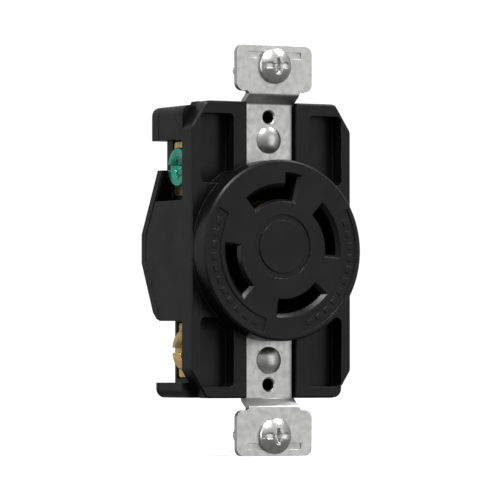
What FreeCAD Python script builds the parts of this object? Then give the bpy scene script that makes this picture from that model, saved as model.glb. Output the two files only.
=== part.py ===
"""Flush four-wire locking power receptacle for a single-gang wall box, as an assembly of its real pieces.

Millimetres. Seen from the front, X runs right and Z runs up; +Y runs into the wall.
The origin is midway between the two mounting screws, on the plane of the strap ears' back faces.
Angles are counter-clockwise from +X, seen from the front.
"""

import FreeCAD, Part
import math
import os

V = FreeCAD.Vector
ORIGIN = V(0, 0, 0)
ALONG_X = V(1, 0, 0)
INTO_WALL = V(0, 1, 0)
TURN_AXIS = V(0, -1, 0)  # turns +X towards +Z, counter-clockwise from the front
GAP = 0.05  # assembly clearance between fixed pieces
THROUGH = 60.0  # long enough to cut right through anything

# Front housing: a plate with cut corners, and the round locking face that stands on it
HALF_WIDTH = 20.76
FRONT_TOP = 33.5
FRONT_BOTTOM = -33.2
CORNER_X = 4.0
CORNER_Z = 6.2
PLATE_REAR = 4.25
BOSS_REAR = 4.7  # the plate's thicker middle, nested in the contact housing
BOSS_INSET = 1.56
LIP_REAR = 8.0  # deeper edge along the top
LIP_HALF_WIDTH = 16.6
LIP_BOTTOM = 30.4
LIP_RADIUS = 1.0
PLATE_BEVEL = 0.35
PLATE_OUTLINE_RADIUS = 1.8
FACE_RADIUS = 20.4
FACE_FRONT = -5.15
FACE_BEVEL = 0.45
FACE_WALL = 2.4
POCKET_X = (9.75, 18.3)
POCKET_Z = (15.0, 30.7)
POCKET_DEPTH = 3.85
POCKET_CORNER = 1.2
FIELD_RADII = (15.9, 19.2)
FIELD_DEPTH = 0.35
FIELD_ANGLES = ((150.0, 255.0), (-75.0, 30.0))
FIELD_CORNER = 0.5
BAR_RADII = (17.0, 18.1)
BAR_HEIGHT = 0.2
BAR_COUNT = 11
BAR_FILL = 0.55  # share of each bar's pitch that is raised
GROOVE_RADII = (5.95, 7.2)
GROOVE_DEPTH = 0.35
GROOVE_RAISE = 0.8

# Blade slots: a lead-in slope at the face, then a narrower way through the wall
SLOT_FRONT_RADII = (10.9, 15.1)
SLOT_RADII = (11.5, 14.2)
SLOT_LEAD_IN = 0.8
SLOT_END_SLOPE = 3.2  # degrees lost at each end through the lead-in
HOOK_FRONT_RADIUS = 17.6
HOOK_RADIUS = 17.0
HOOK_ANGLES = (73.0, 88.0)
HOOK_OVERLAP = 1.0  # how far the hook's opening runs into the slot
HOOK_ROOM = 0.4  # past the hook's radius, in the strap and the contact housing
HOOK_STRAP_MARGIN = 3.0  # degrees past each end of the hook
HOOK_BODY_MARGIN = 7.0
HOOK_TURN_DEPTH = 3.2
CHAMBER_RADII = (10.4, 15.4)
CHAMBER_MARGIN = 5.5  # degrees of chamber past each end of a slot

# Mounting strap
STRAP_THICK = 1.26
STRAP_FRONT = 1.36
STRAP_HALF_WIDTH = 6.0
STRAP_SIDE_GAP = 0.5
STRAP_HUB_RADII = (16.15, 18.85)
BEND_START = 33.2
BEND_END = 35.1
BEND_RADIUS = 0.8
NECK_HALF_WIDTH = 6.5
EAR_HALF_WIDTH = 9.72
EAR_BOTTOM = 35.9
EAR_TOP = 46.2
EAR_CORNER = 1.75
NECK_FILLET = 0.75
EAR_GROOVE_Z = (43.3, 44.8)
EAR_GROOVE_HALF = 6.95
EAR_GROOVE_DEPTH = 0.3
EAR_GROOVE_CORNER = 0.3
SCREW_SPACING = 83.34  # between the mounting screws of every single-gang device
COVER_SPACING = 60.33  # between the tapped holes for the cover plate's screws
COVER_TAP_RADIUS = 1.4
COVER_CLEARANCE_RADIUS = 2.1
COVER_HOLE_REAR = 13.0
COVER_TAP_MOUTH = 0.3
EAR_SLOT_HALF_HEIGHT = 2.05
EAR_SLOT_LENGTH = 7.2

# Rivets
RIVET_HEIGHTS = {"upper": 25.0, "lower": -24.7}
RIVET_HEAD_RADIUS = 3.05
RIVET_HEAD_HEIGHT = 1.35
RIVET_RADIUS = 2.0
RIVET_TAIL_RADIUS = 3.1
RIVET_TAIL_HEIGHT = 0.8
RIVET_TAIL_SUNK = 0.2  # below the rear cover's face
RIVET_TAIL_EDGE = 0.5
RIVET_WELL_ROOM = 0.4
RIVET_DIMPLE = {"mouth": 0.9, "floor": 0.3, "depth": 0.5}
RIVET_RIM = 0.25

# Contact housing and rear cover
BODY_TOP = 32.6
BODY_BOTTOM = -33.1
BODY_CORNER = 2.0
PARTING = 14.95
PARTING_GROOVE = 0.4  # width of the shadow line where the rear cover meets the contact housing
PARTING_GROOVE_DEPTH = 0.25
TOP_SLAB_REAR = 19.15
BOTTOM_SLAB_REAR = 17.1
UPPER_PILLAR_REAR = 17.6
LOWER_PILLAR_REAR = 15.9
RIVET_BOSS_HALF_WIDTH = 5.5
RIVET_BOSS_REACH = 5.5
RIVET_BOSS_CORNER = 1.5
PILLAR_INNER = 8.0  # where the pillars run under the hump
SLAB_RADIUS = 1.1
TOP_SLAB_BOTTOM = 25.0
BOTTOM_SLAB_TOP = -29.7
HUMP_TOP = 18.2
HUMP_PATH = ((15.63, 18.2), (23.3, 3.9), (23.3, -2.6), (17.8, -14.0), (15.9, -15.5), (14.0, -15.8))
HUMP_RADII = (1.5, 1.5, 2.0, 1.2)  # rounding of the hump's inner corners, in path order
COVER_THICK = 2.25
CAVITY_HALF_WIDTH = 14.0
CAVITY_Z = (-13.95, 13.95)
CAVITY_FRONT = 13.8
HOLD_DOWN_RADII = (11.8, 13.8)

# Terminals
SCREW_Y = 9.5
TERMINAL_SCREW_HEAD = 4.45
TERMINAL_SCREW_HEAD_HEIGHT = 2.15
HEAD_RELIEF = 0.35  # room round the upper heads in the slanted wall
HEAD_RELIEF_REACH = 19.6
TERMINAL_SCREW_RADIUS = 2.4
TERMINAL_SCREW_LENGTH = 7.9
TERMINAL_SCREW_EDGE = 0.45
PRESSURE_PLATE_THICK = 1.2
WIRE_GAP = 2.5  # with the screw backed out, as sold
TAB_THICK = 1.2
TAB_HOLE_ROOM = 0.35  # radial room round the screw in each piece it goes through
PLATE_HOLE_ROOM = 0.2
NUT_HOLE_ROOM = 0.06
NUT_THICK = 2.55
NUT_HALF_HEIGHT = 3.4
NUT_Y = (6.5, 12.4)
PLATE_Y = (5.05, 14.6)
PLATE_CORNER = 0.8
TAB_Y = (5.2, 13.9)
POCKET_Y = (4.7, 14.95)
POCKET_SIDE = 0.3
HEAD_PAST_WALL = 0.2  # the head's underside lies this far inside the recess wall
WINDOW_HALF_HEIGHT = 5.0
WINDOW_WIDTH = 4.15
SERRATION_DEPTH = 0.25
SERRATION_PITCH = 1.5
SERRATION_HALF_WIDTH = 0.4
SERRATION_CLEAR = 0.8  # plain metal left round the screw's hole
UPPER_TAB_REACH = 0.9  # how far a tab runs past its plate, towards the blade slots
LOWER_TAB_REACH = 2.3
WINDOW_CORNER = 0.6
NUT_CORNER = 0.6
SCREW_TIP_CHAMFER = 0.6
SCREW_TIP_ROOM = 0.5

# Contacts
CONTACT_END_MARGIN = 4.0  # degrees a contact stays inside its slot's ends
TAIL_Y = (12.5, 13.7)
TAIL_RADII = (11.2, 15.0)
UPPER_TAIL_Z = (12.0, 16.5)  # where a tail meets its tab
LOWER_TAIL_Z = (-14.5, -19.0)
LOWER_TAIL_ELBOW = (4.0, -16.0)
UPPER_TAIL_RADIUS = 12.2
UPPER_TAIL_SPREAD = 13.0  # degrees between a tail's two roots on its contact
GROUND_TAIL_SPREAD = 8.0
LEAF_OUTER = 14.95  # the outer leaf's radius at its base and at its mouth
LEAF_PINCH = 14.25  # and where it pinches the blade
LEAF_INNER = 10.9
LEAF_INNER_MOUTH = 10.7
LEAF_INNER_PINCH = 11.4
LEAF_THICK = 0.8
LEAF_MOUTH_Y = 2.2
LEAF_PINCH_Y = 4.8
LEAF_BASE_Y = 9.6
SPRING_THICK = 0.35
SPRING_REAR = 12.2
SPRING_SHARE = 0.2  # of a slot's angle left bare at each end of its spring
LUG_Y = (12.7, 13.9)
LUG_EYE_RADIUS = 4.0
LUG_ARM_HALF = 2.6
LUG_TAB_Z = (24.5, 22.7)  # where the ground contact's arm leaves its tab

# Mounting screws and their retaining washers
STUD_RADIUS = 1.75
STUD_NECK_RADIUS = 1.4
STUD_NECK_END = 1.3
STUD_LENGTH = 16.8
STUD_HEAD_RADIUS = 4.05
STUD_HEAD_HEIGHT = 2.2
STUD_HEAD_SEAT = -1.31
STUD_HEAD_RIM = 0.5
STUD_TIP_CHAMFER = 0.45
RETAINER_RADIUS = 4.6
RETAINER_Y = (0.3, 1.1)
RETAINER_CLEARANCE = 0.08

# Combination drives in the screw heads
CROSS_ARM_HALF = 0.55
CROSS_REACH = 0.52  # share of the head's radius
CROSS_TAPER_LENGTH = 0.35  # the cross's size at its bottom, as shares of its size at the top
CROSS_TAPER_WIDTH = 0.6
TERMINAL_DRIVE = {"depth": 1.7, "slot_width": 1.15, "slot_depth": 0.9}
MOUNTING_DRIVE = {"depth": 1.6, "slot_width": 1.05, "slot_depth": 1.3}


class Terminal:
    """One pole: its blade slot, and the screw terminal that its contact reaches."""

    def __init__(self, name, slot, side, screw_z, wall_x, recess_z, plate_z, contact_end):
        self.name = name
        self.slot = slot
        self.side = side
        self.screw_z = screw_z
        self.wall_x = wall_x
        self.recess_z = recess_z
        self.plate_z = plate_z
        self.contact_end = contact_end

    def seat(self):
        """Distance from the middle plane to the underside of the screw head."""
        return self.wall_x - HEAD_PAST_WALL

    def plate_inner(self):
        return self.seat() - PRESSURE_PLATE_THICK

    def tab_outer(self):
        return self.plate_inner() - WIRE_GAP

    def tab_inner(self):
        return self.tab_outer() - TAB_THICK

    def is_upper(self):
        return self.screw_z > 0

    def tab_z(self):
        """The tab's height: past the pressure plate at the end nearest the blade slots."""
        low, high = self.plate_z
        return (low - UPPER_TAB_REACH, high) if self.is_upper() else (low, high + LOWER_TAB_REACH)


UPPER_WALL, LOWER_WALL = 17.25, 16.1
UPPER_RECESS, LOWER_RECESS = (11.2, 25.0), (-29.7, -15.8)
UPPER_PLATE, LOWER_PLATE = (12.5, 24.7), (-28.5, -16.3)
UPPER_SCREW_Z, LOWER_SCREW_Z = 18.8, -22.4

TERMINALS = [
    Terminal("ground", (73.0, 130.0), -1, UPPER_SCREW_Z, UPPER_WALL, UPPER_RECESS, UPPER_PLATE, 126.0),
    Terminal("line_x", (-7.0, 47.0), 1, UPPER_SCREW_Z, UPPER_WALL, UPPER_RECESS, UPPER_PLATE, 43.0),
    Terminal("line_y", (-97.0, -40.0), 1, LOWER_SCREW_Z, LOWER_WALL, LOWER_RECESS, LOWER_PLATE, -44.0),
    Terminal("line_z", (173.5, 227.5), -1, LOWER_SCREW_Z, LOWER_WALL, LOWER_RECESS, LOWER_PLATE, 223.5),
]


# ---------------------------------------------------------------- shape helpers


def box(x, y, z):
    """A box from three (low, high) pairs."""
    return Part.makeBox(x[1] - x[0], y[1] - y[0], z[1] - z[0], V(x[0], y[0], z[0]))


def mirrored(side, inner, outer):
    """The (low, high) pair along X of a span given as distances from the middle plane."""
    return (inner, outer) if side > 0 else (-outer, -inner)


def rod_y(radius, y, x=0.0, z=0.0):
    return Part.makeCylinder(radius, y[1] - y[0], V(x, y[0], z), INTO_WALL)


def rod_x(radius, x, y, z):
    return Part.makeCylinder(radius, x[1] - x[0], V(x[0], y, z), ALONG_X)


def face_y(points, y):
    """The flat face inside an outline of (x, z) points, in the plane at y."""
    corners = [V(px, y, pz) for px, pz in points]
    return Part.Face(Part.makePolygon(corners + corners[:1]))


def prism_y(points, y):
    """An outline of (x, z) points, extruded from y[0] to y[1]."""
    return face_y(points, y[0]).extrude(V(0, y[1] - y[0], 0))


def prism_x(points, x):
    """An outline of (y, z) points, extruded from x[0] to x[1]."""
    corners = [V(x[0], py, pz) for py, pz in points]
    face = Part.Face(Part.makePolygon(corners + corners[:1]))
    return face.extrude(V(x[1] - x[0], 0, 0))


def ring_y(radii, y):
    return rod_y(radii[1], y).cut(rod_y(radii[0], y))


def polar(radius, degrees):
    """The (x, z) point at a radius and an angle."""
    return radius * math.cos(math.radians(degrees)), radius * math.sin(math.radians(degrees))


def swept(profile, angles):
    """A closed profile of (radius, y) points, swept about the Y axis between two angles."""
    corners = [V(r, y, 0) for r, y in profile]
    face = Part.Face(Part.makePolygon(corners + corners[:1]))
    face.rotate(ORIGIN, TURN_AXIS, angles[0])
    return face.revolve(ORIGIN, TURN_AXIS, angles[1] - angles[0])


def sector(radii, angles, y):
    profile = [(radii[0], y[0]), (radii[1], y[0]), (radii[1], y[1]), (radii[0], y[1])]
    return swept(profile, angles)


def sector_wire(radii, angles, y):
    """The outline of an annular sector in the plane at y."""
    middle = (angles[0] + angles[1]) / 2

    def at(radius, degrees):
        x, z = polar(radius, degrees)
        return V(x, y, z)

    outer = Part.Arc(at(radii[1], angles[0]), at(radii[1], middle), at(radii[1], angles[1]))
    inner = Part.Arc(at(radii[0], angles[1]), at(radii[0], middle), at(radii[0], angles[0]))
    end = Part.LineSegment(at(radii[1], angles[1]), at(radii[0], angles[1]))
    start = Part.LineSegment(at(radii[0], angles[0]), at(radii[1], angles[0]))
    return Part.Wire([edge.toShape() for edge in (outer, end, inner, start)])


def along(edge, direction):
    """Whether a straight edge runs along a direction."""
    if not isinstance(edge.Curve, Part.Line):
        return False
    way = edge.Vertexes[-1].Point.sub(edge.Vertexes[0].Point)
    return way.Length > 0 and abs(abs(way.normalize().dot(direction)) - 1) < 1e-6


def lies_at_y(edge, y):
    return abs(edge.BoundBox.YMin - y) < 1e-5 and abs(edge.BoundBox.YMax - y) < 1e-5


def lies_at_z(edge, z):
    return abs(edge.BoundBox.ZMin - z) < 1e-5 and abs(edge.BoundBox.ZMax - z) < 1e-5


def passes(edge, corner):
    """Whether an edge along X goes through a (y, z) point."""
    return math.hypot(edge.BoundBox.YMin - corner[0], edge.BoundBox.ZMin - corner[1]) < 0.05


def rounded_box(x, y, z, radius, direction):
    """A box with its four edges along one direction rounded."""
    block = box(x, y, z)
    return block.makeFillet(radius, [e for e in block.Edges if along(e, direction)])


def outline(half_width, top, bottom):
    """A tall rectangle with four cut corners, as (x, z) points."""
    quarter = [(half_width, top - CORNER_Z), (half_width - CORNER_X, top)]
    right = [(half_width - CORNER_X, bottom), (half_width, bottom + CORNER_Z)] + quarter
    return right + [(-x, z) for x, z in reversed(right)]


def inset_path(path, distance):
    """A path of (y, z) points moved sideways to its right by a distance, with mitred corners."""
    normals = []
    for (y0, z0), (y1, z1) in zip(path, path[1:]):
        length = math.hypot(y1 - y0, z1 - z0)
        normals.append(((z1 - z0) / length, -(y1 - y0) / length))
    moved = []
    for i, (y, z) in enumerate(path):
        before = normals[max(i - 1, 0)]
        after = normals[min(i, len(normals) - 1)]
        shrink = distance / (1 + before[0] * after[0] + before[1] * after[1])
        moved.append((y + (before[0] + after[0]) * shrink, z + (before[1] + after[1]) * shrink))
    return moved


def export(shape, name):
    shape.exportStep(os.path.join("parts", name + ".step"))


# ---------------------------------------------------------------- housings


def body_block(y):
    """The full outline of the contact housing and the rear cover, from y[0] to y[1]."""
    return rounded_box((-HALF_WIDTH, HALF_WIDTH), y, (BODY_BOTTOM, BODY_TOP), BODY_CORNER, INTO_WALL)


def blade_slot(slot):
    """A sloped lead-in at the face, and the way through the face wall behind it."""
    inner_angles = (slot[0] + SLOT_END_SLOPE, slot[1] - SLOT_END_SLOPE)
    neck_y = FACE_FRONT + SLOT_LEAD_IN
    front = sector_wire(SLOT_FRONT_RADII, slot, FACE_FRONT)
    neck = sector_wire(SLOT_RADII, inner_angles, neck_y)
    lead_in = Part.makeLoft([front, neck], True, True)
    return lead_in.fuse(sector(SLOT_RADII, inner_angles, (neck_y, FACE_FRONT + FACE_WALL + 0.5)))


def hook_slot():
    """The ground slot's wider end, which lets the blade's hook in."""
    inner_angles = (HOOK_ANGLES[0] + SLOT_END_SLOPE, HOOK_ANGLES[1] - 1.0)
    inner_radius = SLOT_RADII[0] + HOOK_OVERLAP
    neck_y = FACE_FRONT + SLOT_LEAD_IN
    front = sector_wire((inner_radius, HOOK_FRONT_RADIUS), HOOK_ANGLES, FACE_FRONT)
    neck = sector_wire((inner_radius, HOOK_RADIUS), inner_angles, neck_y)
    lead_in = Part.makeLoft([front, neck], True, True)
    way = sector((inner_radius, HOOK_RADIUS), inner_angles, (neck_y, BOSS_REAR + 1.0))
    return lead_in.fuse(way)


def chamber(slot, y):
    """The space behind a blade slot that holds its contact."""
    return sector(CHAMBER_RADII, (slot[0] - CHAMBER_MARGIN, slot[1] + CHAMBER_MARGIN), y)


def field(angles):
    """A shallow recess in the locking face that leaves a row of raised index bars standing."""
    top, floor = FACE_FRONT - 0.5, FACE_FRONT + FIELD_DEPTH
    recess = sector(FIELD_RADII, angles, (top, floor))
    recess = recess.makeFillet(FIELD_CORNER, [e for e in recess.Edges if along(e, INTO_WALL)])
    pitch = (angles[1] - angles[0]) / (BAR_COUNT + 1)
    for i in range(BAR_COUNT):
        start = angles[0] + pitch * (i + 1 - BAR_FILL / 2)
        bar = (start, start + pitch * BAR_FILL)
        recess = recess.cut(sector(BAR_RADII, bar, (floor - BAR_HEIGHT, floor + 0.1)))
    return recess


def pocket(x_sign, z_sign):
    """A moulding pocket beside the strap, which stops at the locking face's round wall."""
    x = mirrored(x_sign, *POCKET_X)
    z = mirrored(z_sign, *POCKET_Z)
    block = rounded_box(x, (-1.0, POCKET_DEPTH), z, POCKET_CORNER, INTO_WALL)
    return block.cut(rod_y(FACE_RADIUS, (-THROUGH, THROUGH)))


def locking_face():
    """The round face's wall and solid front, with a small bevel round its edge."""
    disc = rod_y(FACE_RADIUS, (FACE_FRONT, PLATE_REAR))
    return disc.makeChamfer(FACE_BEVEL, [e for e in disc.Edges if lies_at_y(e, FACE_FRONT)])


def front_housing():
    plate = prism_y(outline(HALF_WIDTH, FRONT_TOP, FRONT_BOTTOM), (0.0, PLATE_REAR))
    plate = plate.makeFillet(PLATE_OUTLINE_RADIUS, [e for e in plate.Edges if along(e, INTO_WALL)])
    plate = plate.makeChamfer(PLATE_BEVEL, [e for e in plate.Edges if lies_at_y(e, 0.0)])
    boss_half = HALF_WIDTH - BOSS_INSET
    boss_outline = outline(boss_half, -FRONT_BOTTOM - BOSS_INSET, FRONT_BOTTOM + BOSS_INSET)
    boss = prism_y(boss_outline, (PLATE_REAR, BOSS_REAR))
    lip = box((-LIP_HALF_WIDTH, LIP_HALF_WIDTH), (PLATE_REAR, LIP_REAR), (LIP_BOTTOM, FRONT_TOP))
    rear_edge = [e for e in lip.Edges if lies_at_y(e, LIP_REAR) and e.BoundBox.ZMin > FRONT_TOP - 0.1]
    lip = lip.makeFillet(LIP_RADIUS, rear_edge)
    body = plate.fuse([boss, lip, locking_face()]).removeSplitter()

    under_strap = STRAP_FRONT - GAP
    half_gap = STRAP_HALF_WIDTH + STRAP_SIDE_GAP
    channel = box((-half_gap, half_gap), (-THROUGH, THROUGH), (-THROUGH, THROUGH))
    channel = channel.cut(rod_y(FACE_RADIUS, (-THROUGH, under_strap)))
    channel = channel.cut(rod_y(STRAP_HUB_RADII[0] - GAP, (-THROUGH, THROUGH)))
    hub_recess = ring_y((STRAP_HUB_RADII[0] - GAP, STRAP_HUB_RADII[1] + GAP), (under_strap, THROUGH))
    cuts = [channel, hub_recess, hook_slot()]
    cuts += [pocket(sx, sz) for sx in (-1, 1) for sz in (-1, 1)]
    cuts += [field(angles) for angles in FIELD_ANGLES]
    groove = ring_y(GROOVE_RADII, (FACE_FRONT - 0.5, FACE_FRONT + GROOVE_DEPTH))
    groove.translate(V(0, 0, GROOVE_RAISE))
    cuts.append(groove)
    for terminal in TERMINALS:
        cuts.append(blade_slot(terminal.slot))
        cuts.append(chamber(terminal.slot, (FACE_FRONT + FACE_WALL, THROUGH)))
    return body.cut(cuts)


def hump_block(path, x):
    """The hump's solid between a rear path and the parting region in front of it."""
    ends = [(PLATE_REAR, path[-1][1]), (PLATE_REAR, path[0][1])]
    block = prism_x(list(path) + ends, x)
    for i, radius in enumerate(HUMP_RADII):
        corner = path[i + 1]
        edges = [e for e in block.Edges if along(e, ALONG_X) and passes(e, corner)]
        if edges:
            block = block.makeFillet(radius, edges)
    return block


def hump_outer():
    return hump_block(HUMP_PATH, (-HALF_WIDTH, HALF_WIDTH))


def slanted_wall():
    """The part of the rear cover's hump that reaches forward of the parting plane at the top."""
    upper_half = box((-THROUGH, THROUGH), (PLATE_REAR, THROUGH), (0.0, THROUGH))
    return hump_outer().cut(hump_inner()).common(upper_half)


def hump_inner(extra=0.0):
    """The space inside the rear cover's hump, from the plate back; extra makes the cover thicker."""
    inner = inset_path(HUMP_PATH, COVER_THICK + extra)
    (top_y, top_z), (ridge_y, ridge_z) = HUMP_PATH[0], HUMP_PATH[1]
    slope = (ridge_y - top_y) / (top_z - ridge_z)
    inner[0] = (inner[0][0] - (HUMP_TOP - inner[0][1]) * slope, HUMP_TOP)
    return hump_block(inner, (-HALF_WIDTH, HALF_WIDTH))


def terminal_space(terminal):
    """What is cut away for one terminal: side recess, pressure-plate pocket, tab, nut and screw tip."""
    side, z0 = terminal.side, terminal.screw_z
    plate_z = (terminal.plate_z[0] - POCKET_SIDE, terminal.plate_z[1] + POCKET_SIDE)
    tab_low, tab_high = terminal.tab_z()
    tab_z = (min(plate_z[0], tab_low - GAP), max(plate_z[1], tab_high + GAP))
    recess = box(mirrored(side, terminal.wall_x, THROUGH), (PLATE_REAR - 1.0, THROUGH), terminal.recess_z)
    plate_pocket = box(mirrored(side, terminal.tab_outer(), terminal.wall_x + 1), POCKET_Y, plate_z)
    tab_pocket = box(
        mirrored(side, terminal.tab_inner() - GAP, terminal.tab_outer() + GAP),
        (TAB_Y[0] - GAP, POCKET_Y[1]),
        tab_z,
    )
    nut_pocket = box(
        mirrored(side, terminal.tab_inner() - NUT_THICK - GAP, terminal.tab_inner()),
        (NUT_Y[0] - GAP, PARTING),
        (z0 - NUT_HALF_HEIGHT - GAP, z0 + NUT_HALF_HEIGHT + GAP),
    )
    tip_reach = terminal.seat() - TERMINAL_SCREW_LENGTH - WIRE_GAP - SCREW_TIP_ROOM
    tip = rod_x(TERMINAL_SCREW_RADIUS + 0.4, mirrored(side, tip_reach, terminal.tab_inner()), SCREW_Y, z0)
    return [recess, plate_pocket, tab_pocket, nut_pocket, tip]


def tail_outline(terminal):
    """The strip that joins a contact's base to its terminal tab, as (x, z) points."""
    tab_x = terminal.side * terminal.tab_outer()
    near, far = polar(TAIL_RADII[0], terminal.contact_end), polar(TAIL_RADII[1], terminal.contact_end)
    if not terminal.is_upper():
        meets = [(tab_x, z) for z in LOWER_TAIL_Z]
        elbow_x, elbow_z = LOWER_TAIL_ELBOW
        return [near, far] + meets + [(tab_x - terminal.side * elbow_x, elbow_z)]
    meets = [(tab_x, z) for z in UPPER_TAIL_Z]
    if terminal.name == "ground":
        return [near, far] + meets + [polar(TAIL_RADII[1], terminal.contact_end - GROUND_TAIL_SPREAD)]
    return [near, far] + meets + [polar(UPPER_TAIL_RADIUS, terminal.contact_end + UPPER_TAIL_SPREAD)]


def ground_lug_outline():
    """The ground contact's arm from its tab to the upper rivet, without its round eye."""
    ground = TERMINALS[0]
    tab_x = ground.side * ground.tab_inner()
    height = RIVET_HEIGHTS["upper"]
    return [(tab_x, z) for z in LUG_TAB_Z] + [(0.0, height - LUG_ARM_HALF), (0.0, height + LUG_ARM_HALF)]


def ground_lug(y, grow=0.0):
    """The arm and its eye on the rivet; grow makes both larger all round, to cut their room."""
    face = face_y(ground_lug_outline(), y[0])
    if grow:
        face = face.makeOffset2D(grow)
    eye = rod_y(LUG_EYE_RADIUS + grow, y, 0.0, RIVET_HEIGHTS["upper"])
    return face.extrude(V(0, y[1] - y[0], 0)).fuse(eye)


def rivet_hole(height, y):
    return rod_y(RIVET_RADIUS + GAP, y, 0.0, height)


def contact_housing():
    shell = body_block((PLATE_REAR, PARTING))
    body = shell.fuse(hump_inner()).cut(slanted_wall())

    nest_half = HALF_WIDTH - BOSS_INSET + GAP
    nest_outline = outline(nest_half, -FRONT_BOTTOM - BOSS_INSET + GAP, FRONT_BOTTOM + BOSS_INSET - GAP)
    nest = prism_y(nest_outline, (0.0, BOSS_REAR))
    lip_x = (-LIP_HALF_WIDTH - GAP, LIP_HALF_WIDTH + GAP)
    lip_notch = box(lip_x, (0.0, LIP_REAR), (LIP_BOTTOM - GAP, THROUGH))
    body = body.cut([nest, lip_notch])

    rib_front = STRAP_FRONT + STRAP_THICK
    half_rib = STRAP_HALF_WIDTH + STRAP_SIDE_GAP - GAP
    ribs = [box((-half_rib, half_rib), (rib_front, LIP_REAR + 0.5), (STRAP_HUB_RADII[0], BODY_TOP))]
    lower_rib_z = (BODY_BOTTOM, -STRAP_HUB_RADII[0])
    ribs.append(box((-half_rib, half_rib), (rib_front, BOSS_REAR + 0.5), lower_rib_z))
    ribs.append(ring_y(STRAP_HUB_RADII, (rib_front, BOSS_REAR + 0.5)))
    body = body.fuse(ribs)
    hub = rod_y(STRAP_HUB_RADII[0], (0.0, BOSS_REAR))
    body = body.cut(hub)

    cuts = []
    for terminal in TERMINALS:
        cuts += terminal_space(terminal)
        cuts.append(chamber(terminal.slot, (BOSS_REAR - 0.1, THROUGH)))
        tail = prism_y(tail_outline(terminal), (TAIL_Y[0], THROUGH))
        cuts.append(tail)
    hook_radii = (CHAMBER_RADII[1] - 0.5, HOOK_FRONT_RADIUS + HOOK_ROOM)
    hook_way = (HOOK_ANGLES[0] - HOOK_BODY_MARGIN, HOOK_ANGLES[1] + HOOK_BODY_MARGIN)
    cuts.append(sector(hook_radii, hook_way, (0.0, TAIL_Y[0])))
    hook_turn = (hook_way[0], TERMINALS[0].slot[1] + CHAMBER_MARGIN)
    cuts.append(sector(hook_radii, hook_turn, (BOSS_REAR - HOOK_TURN_DEPTH, TAIL_Y[0])))
    cavity = box((-CAVITY_HALF_WIDTH, CAVITY_HALF_WIDTH), (CAVITY_FRONT, THROUGH), CAVITY_Z)
    cuts.append(cavity)
    cuts.append(ground_lug((LUG_Y[0], THROUGH), GAP))
    for height in RIVET_HEIGHTS.values():
        cuts.append(rivet_hole(height, (-THROUGH, THROUGH)))
    for sign in (-1, 1):
        hole_z = sign * COVER_SPACING / 2
        cuts.append(rod_y(COVER_CLEARANCE_RADIUS, (0.0, COVER_HOLE_REAR), 0.0, hole_z))
    return body.cut(cuts)


def rivet_boss(height, rear):
    """The raised pad round a rivet's tail on the rear cover."""
    x = (-RIVET_BOSS_HALF_WIDTH, RIVET_BOSS_HALF_WIDTH)
    z = (height - RIVET_BOSS_REACH, height + RIVET_BOSS_REACH)
    return rounded_box(x, (PARTING, rear), z, RIVET_BOSS_CORNER, INTO_WALL)


def rear_cover():
    """The hump over the contacts, the pillars behind the terminals and the slabs behind the flanges."""
    rivets = ((RIVET_HEIGHTS["upper"], TOP_SLAB_REAR), (RIVET_HEIGHTS["lower"], BOTTOM_SLAB_REAR))
    inner = hump_inner(-GAP)
    strip = hump_outer().cut(inner)
    strip = strip.cut(box((-THROUGH, THROUGH), (-THROUGH, PARTING), (-THROUGH, 0.0)))
    upper_z = (PILLAR_INNER, TOP_SLAB_BOTTOM + 0.5)
    upper = box((-UPPER_WALL, UPPER_WALL), (PARTING, UPPER_PILLAR_REAR), upper_z)
    lower_z = (BOTTOM_SLAB_TOP - 0.5, -PILLAR_INNER)
    lower = box((-LOWER_WALL, LOWER_WALL), (PARTING, LOWER_PILLAR_REAR), lower_z)
    top = flange_slab((TOP_SLAB_BOTTOM, THROUGH), TOP_SLAB_REAR)
    bottom = flange_slab((-THROUGH, BOTTOM_SLAB_TOP), BOTTOM_SLAB_REAR)
    bosses = [rivet_boss(height, rear) for height, rear in rivets]
    body = strip.fuse([upper, lower, top, bottom] + bosses).cut(inner)

    hold_down = ring_y(HOLD_DOWN_RADII, (CAVITY_FRONT, THROUGH)).common(hump_outer())
    body = body.fuse(hold_down).removeSplitter()
    cuts = []
    for terminal in TERMINALS:
        plate_z = (terminal.plate_z[0] - POCKET_SIDE, terminal.plate_z[1] + POCKET_SIDE)
        plate_pocket_x = mirrored(terminal.side, terminal.tab_inner() - GAP, terminal.wall_x)
        cuts.append(box(plate_pocket_x, (0.0, POCKET_Y[1]), plate_z))
        if terminal.is_upper():
            relief_x = mirrored(terminal.side, UPPER_WALL - GAP, HEAD_RELIEF_REACH)
            cuts.append(rod_x(TERMINAL_SCREW_HEAD + HEAD_RELIEF, relief_x, SCREW_Y, terminal.screw_z))
        window_inner = terminal.tab_inner() + GAP
        window_x = mirrored(terminal.side, window_inner, window_inner + WINDOW_WIDTH)
        window_z = (terminal.screw_z - WINDOW_HALF_HEIGHT, terminal.screw_z + WINDOW_HALF_HEIGHT)
        window = rounded_box(window_x, (POCKET_Y[0], THROUGH), window_z, WINDOW_CORNER, INTO_WALL)
        cuts.append(window)
    for height, rear in rivets:
        cuts.append(rivet_hole(height, (0.0, THROUGH)))
        well = (rear - RIVET_TAIL_HEIGHT - RIVET_TAIL_SUNK, THROUGH)
        cuts.append(rod_y(RIVET_TAIL_RADIUS + RIVET_WELL_ROOM, well, 0.0, height))
    return shadow_lined(body.cut(cuts))


def shadow_lined(cover):
    """The cover with a shallow step round its outside, along the line where it meets the contact housing."""
    side = HALF_WIDTH - PARTING_GROOVE_DEPTH
    z = (BODY_BOTTOM + PARTING_GROOVE_DEPTH, BODY_TOP - PARTING_GROOVE_DEPTH)
    core = rounded_box((-side, side), (-THROUGH, THROUGH), z, BODY_CORNER, INTO_WALL)
    backed_off = cover.copy()
    backed_off.translate(INTO_WALL * PARTING_GROOVE)
    return cover.cut(cover.cut([backed_off, core]))


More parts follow.
